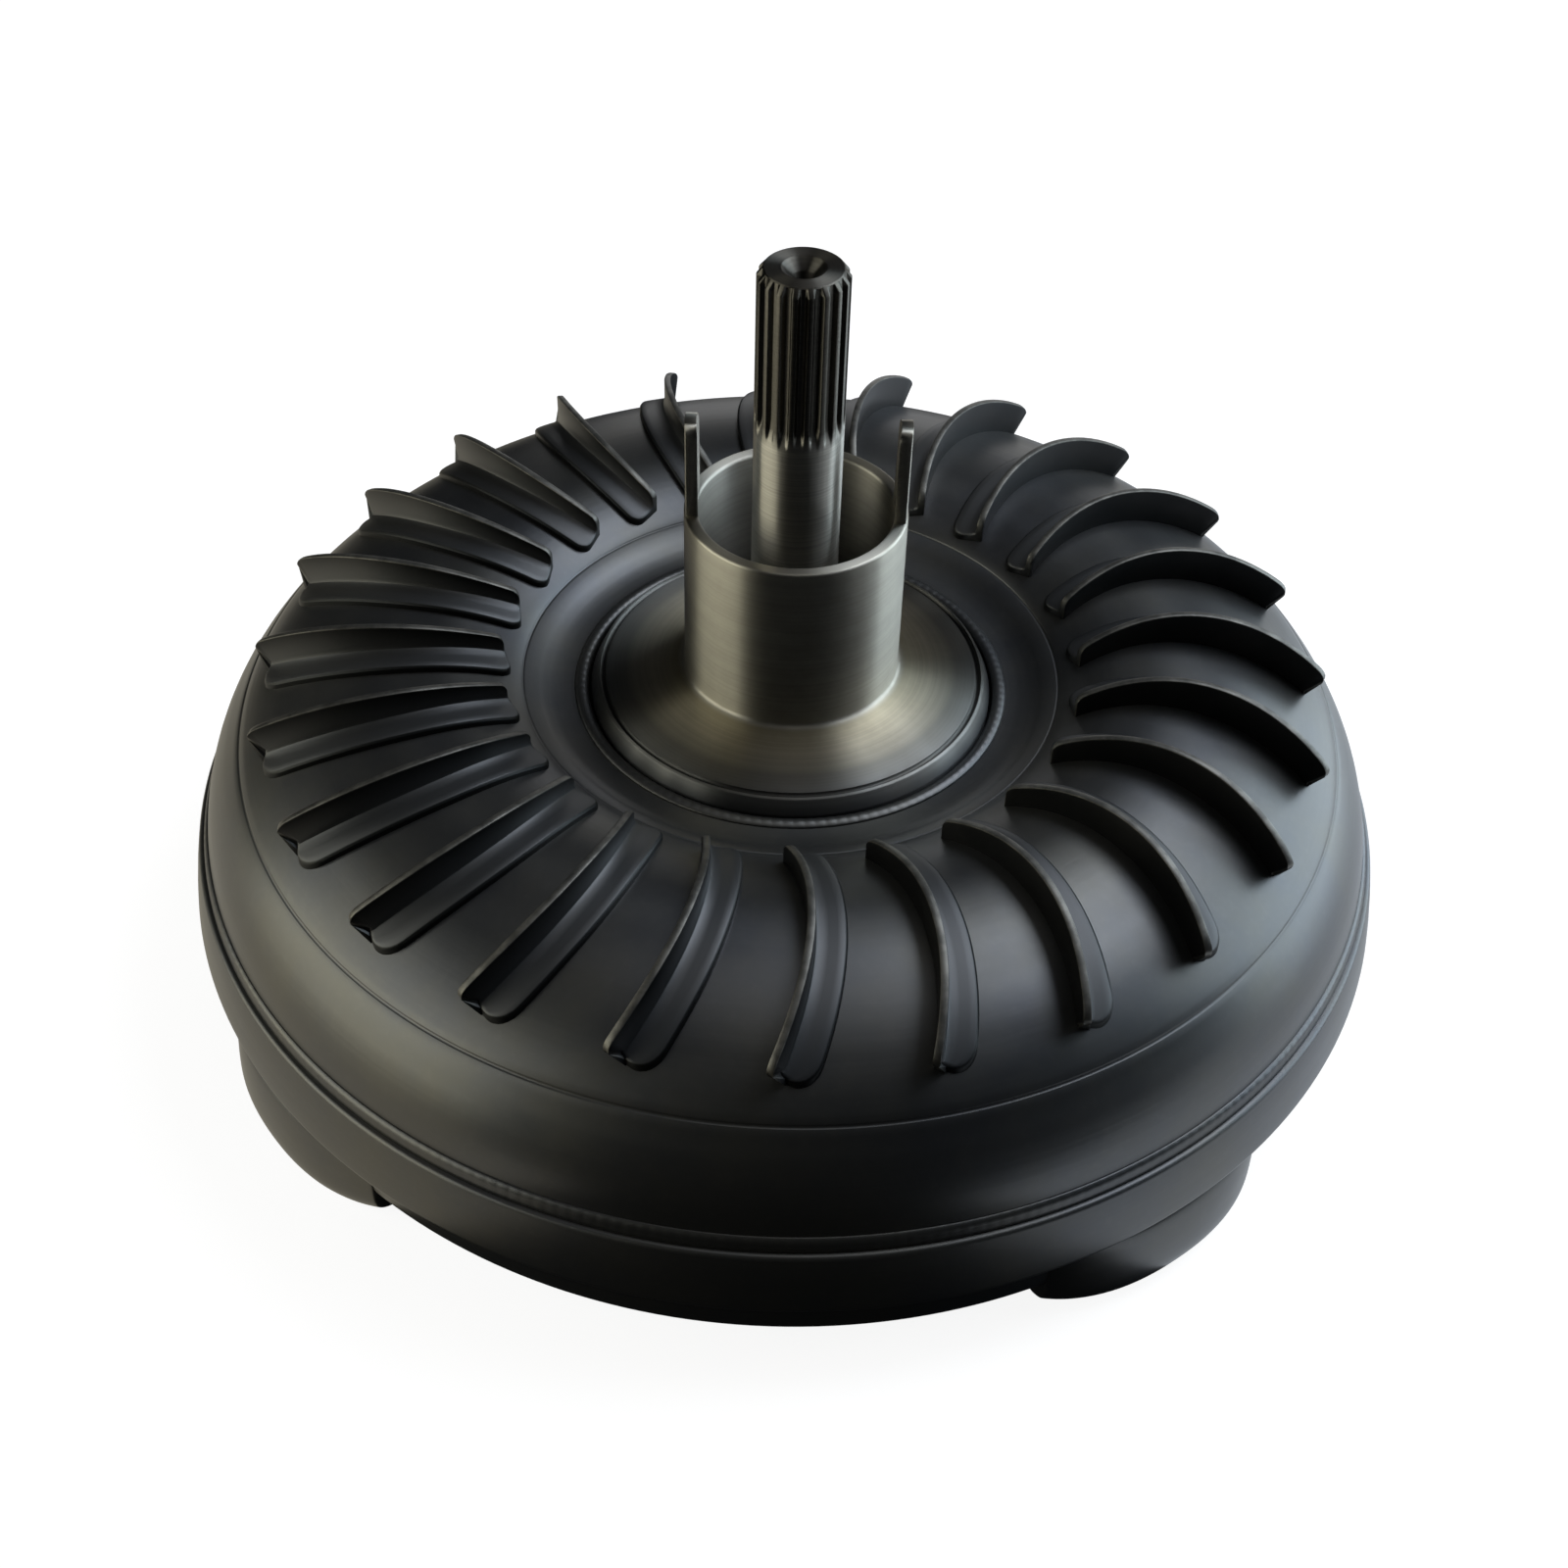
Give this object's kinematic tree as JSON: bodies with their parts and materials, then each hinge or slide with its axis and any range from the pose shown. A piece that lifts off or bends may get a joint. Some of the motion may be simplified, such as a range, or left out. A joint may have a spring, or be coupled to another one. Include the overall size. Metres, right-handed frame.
{
  "type": "torque converter",
  "caption": "Welded torque converter with a finned pump shell, tanged pump drive hub, splined turbine shaft, freewheeling stator and lugged front cover.",
  "frame": {"origin": "on the axis of rotation, in the plane of the four drive lugs on which the converter stands", "axes": "+Z along the axis of rotation, from the engine side towards the gearbox"},
  "size_m": [0.3284, 0.3284, 0.2045],
  "materials": {
    "black_painted_steel": "satin black paint over pressed steel",
    "ground_steel": "turned and ground, bright",
    "pressed_steel": "pressed sheet, oiled",
    "rivet_steel": "cold headed",
    "bearing_bronze": "machined bronze",
    "bearing_steel": "hardened and ground",
    "cage_steel": "stamped, phosphated",
    "cast_aluminium": "die cast",
    "spring_steel": "blued spring steel"
  },
  "bodies": {
    "housing": {"impeller_shell": "black_painted_steel", "cooling_fins": "black_painted_steel", "pump_drive_hub": "ground_steel", "hub_weld": "black_painted_steel", "impeller_blades": "pressed_steel", "impeller_core_ring": "pressed_steel", "front_cover": "black_painted_steel", "closing_weld": "black_painted_steel", "pilot_spigot": "ground_steel", "drive_lugs": "black_painted_steel", "cover_thrust_washer": "bearing_bronze", "pump_side_hub_race": "bearing_steel"},
    "turbine": {"turbine_shell": "pressed_steel", "turbine_blades": "pressed_steel", "turbine_core_ring": "pressed_steel", "turbine_hub": "pressed_steel", "turbine_rivets": "rivet_steel", "turbine_shaft": "ground_steel", "shaft_snap_ring": "spring_steel", "turbine_side_hub_race": "bearing_steel"},
    "inner_race": {"clutch_inner_race": "bearing_steel"},
    "stator": {"stator_wheel": "cast_aluminium", "stator_snap_rings": "spring_steel", "clutch_outer_race": "bearing_steel", "clutch_rollers": "bearing_steel", "clutch_springs": "spring_steel", "clutch_end_plate_pump_side": "bearing_bronze", "clutch_end_plate_turbine_side": "bearing_bronze", "pump_side_needles": "bearing_steel", "pump_side_needle_cage": "cage_steel", "pump_side_stator_race": "bearing_steel", "turbine_side_needles": "bearing_steel", "turbine_side_needle_cage": "cage_steel", "turbine_side_stator_race": "bearing_steel"}
  },
  "joints": [
    {"name": "turbine_spin", "type": "hinge", "parent": "housing", "child": "turbine", "pos_m": [0, 0, 0.05], "axis": [0, 0, 1], "continuous": true},
    {"name": "inner_race_turn", "type": "hinge", "parent": "housing", "child": "inner_race", "pos_m": [0, 0, 0.055], "axis": [0, 0, 1], "continuous": true},
    {"name": "stator_freewheel", "type": "hinge", "parent": "inner_race", "child": "stator", "pos_m": [0, 0, 0.055], "axis": [0, 0, 1], "continuous": true}
  ]
}
